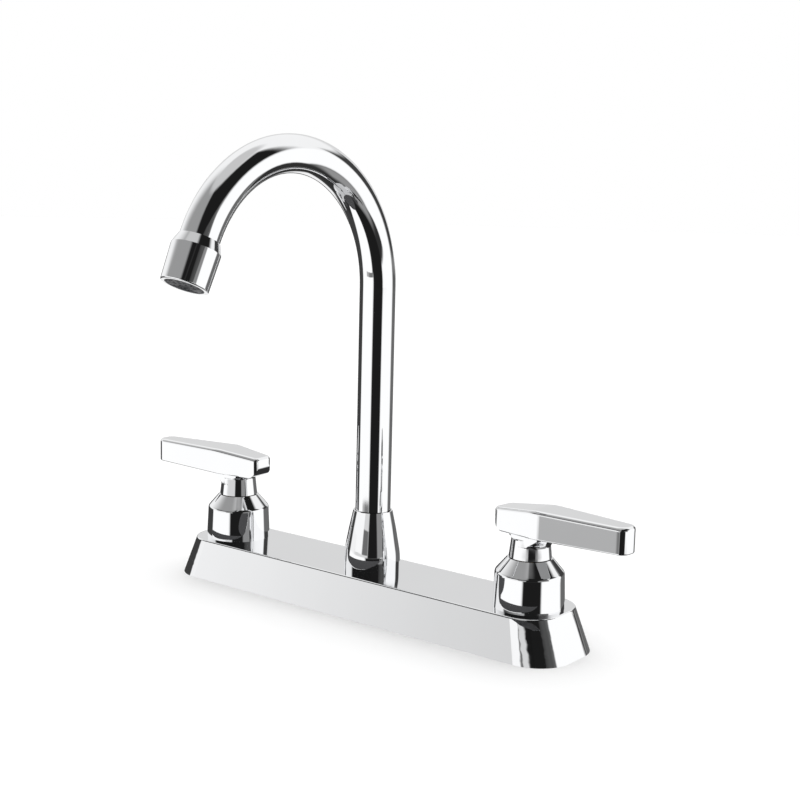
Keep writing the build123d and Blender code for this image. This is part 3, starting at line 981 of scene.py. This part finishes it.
class MIXER_OT_studio(bpy.types.Operator):
    """Pale floor, white tent with dark mats that paint dark reflections, soft light and the camera."""

    bl_idname = "mixer.studio"
    bl_label = "Studio"

    def execute(self, context):
        studio = context.scene.mixer_studio
        floor = disc("floor", studio.floor_radius, FLOOR_SIDES)
        floor.data.materials.append(self.floor_paint(studio))
        floor.visible_glossy = False
        self.mats(studio, context.scene.mixer_sizes.handle_x)
        facing = studio.camera_yaw - pi / 2
        context.scene.world = Tent("tent").build(facing, TENT_PANELS, studio.tent_strength)
        context.scene.view_settings.view_transform = "Standard"
        self.lamp(studio)
        self.camera(context, studio)
        return {"FINISHED"}

    def floor_paint(self, studio):
        """Matt pale floor with a faint mottle."""
        finish = Finish("plain_floor", studio.floor_color, metallic=0.0, roughness=0.85)
        mottle = finish.noise(6.0, detail=4.0)
        finish.tint(mottle, shaded(studio.floor_color, 0.985), studio.floor_color)
        return finish.material

    def mats(self, studio, handle_x):
        """Dark mats before the nut and the bells, which only polished metal shows: painted dark
        reflections, hidden from the camera, from shadows and from diffuse light.
        """
        black = Finish("painted_reflection_mat", (0.06, 0.06, 0.062), metallic=0.0, roughness=1.0)
        black.shader.inputs["Specular IOR Level"].default_value = 0.0
        mats = (
            ("front_reflection_mat", 0, studio.front_reflection_mat_radius),
            ("cold_reflection_mat", handle_x, studio.side_reflection_mat_radius),
            ("hot_reflection_mat", -handle_x, studio.side_reflection_mat_radius),
        )
        for name, centre, radius in mats:
            # Each mat is a dark sheet seen only in reflections, which paints dark reflections into the
            # polished metal
            mat = cut_disc(name, centre, studio.reflection_mat_start, radius, studio.reflection_mat_height)
            mat.data.materials.append(black.material)
            mat.visible_camera = False
            mat.visible_diffuse = False
            mat.visible_shadow = False
            mat.visible_transmission = False

    def lamp(self, studio):
        """Broad soft light from above, kept out of the reflections."""
        light = bpy.data.lights.new("overhead", "SUN")
        light.energy = studio.top_light_strength
        light.angle = studio.top_light_spread
        holder = linked("overhead", light)
        holder.visible_glossy = False

    def camera(self, context, studio):
        """Camera at the photograph's place."""
        yaw, pitch, roll = studio.camera_yaw, studio.camera_pitch, studio.camera_roll
        back = Vector((sin(yaw) * cos(pitch), -cos(yaw) * cos(pitch), sin(pitch)))
        right = Vector((cos(yaw), sin(yaw), 0))
        up = back.cross(right)
        tilted_right = right * cos(roll) + up * sin(roll)
        tilted_up = up * cos(roll) - right * sin(roll)
        turn = Matrix((tilted_right, tilted_up, back)).transposed().to_4x4()
        data = bpy.data.cameras.new("camera")
        data.lens = studio.camera_lens
        data.sensor_fit = "HORIZONTAL"
        data.clip_start = studio.camera_near
        camera = linked("camera", data)
        place = studio.camera_target + back * studio.camera_distance
        camera.matrix_world = Matrix.Translation(place) @ turn
        context.scene.camera = camera


class MIXER_PT_sidebar(bpy.types.Panel):
    """Lists the mixer's pieces, sizes and colours."""

    bl_label = "Basin mixer"
    bl_idname = "MIXER_PT_sidebar"
    bl_space_type = "VIEW_3D"
    bl_region_type = "UI"
    bl_category = "Basin mixer"

    def draw(self, context):
        scene = context.scene
        for settings in (scene.mixer_colours, scene.mixer_sizes, scene.mixer_studio):
            column = self.layout.column(align=True)
            for name in settings.__annotations__:
                column.prop(settings, name)
        for operator in OPERATORS:
            self.layout.operator(operator.bl_idname)


OPERATORS = (
    MIXER_OT_chrome_trim,
    MIXER_OT_brass_works,
    MIXER_OT_seals,
    MIXER_OT_ceramic_discs,
    MIXER_OT_steel_hardware,
    MIXER_OT_plastic_inserts,
    MIXER_OT_valve_bodies,
    MIXER_OT_lock_nuts,
    MIXER_OT_deck_washers,
    MIXER_OT_headworks,
    MIXER_OT_bell_nuts,
    MIXER_OT_spindles,
    MIXER_OT_set_screws,
    MIXER_OT_aerator,
    MIXER_OT_studio,
)
CLASSES = (MixerColours, MixerSizes, MixerStudio, *OPERATORS, MIXER_PT_sidebar)


def register():
    """Registers the classes and hangs their settings on the scene."""
    for cls in CLASSES:
        bpy.utils.register_class(cls)
    bpy.types.Scene.mixer_colours = PointerProperty(type=MixerColours)
    bpy.types.Scene.mixer_sizes = PointerProperty(type=MixerSizes)
    bpy.types.Scene.mixer_studio = PointerProperty(type=MixerStudio)


def unregister():
    """Takes the settings and the classes away."""
    del bpy.types.Scene.mixer_studio
    del bpy.types.Scene.mixer_sizes
    del bpy.types.Scene.mixer_colours
    for cls in reversed(CLASSES):
        bpy.utils.unregister_class(cls)


def main():
    """Makes every piece and the studio."""
    register()
    bpy.ops.mixer.chrome_trim()
    bpy.ops.mixer.brass_works()
    bpy.ops.mixer.seals()
    bpy.ops.mixer.ceramic_discs()
    bpy.ops.mixer.steel_hardware()
    bpy.ops.mixer.plastic_inserts()
    bpy.ops.mixer.valve_bodies()
    bpy.ops.mixer.lock_nuts()
    bpy.ops.mixer.deck_washers()
    bpy.ops.mixer.headworks()
    bpy.ops.mixer.bell_nuts()
    bpy.ops.mixer.spindles()
    bpy.ops.mixer.set_screws()
    bpy.ops.mixer.aerator()
    bpy.ops.mixer.studio()


if __name__ == "__main__":
    main()
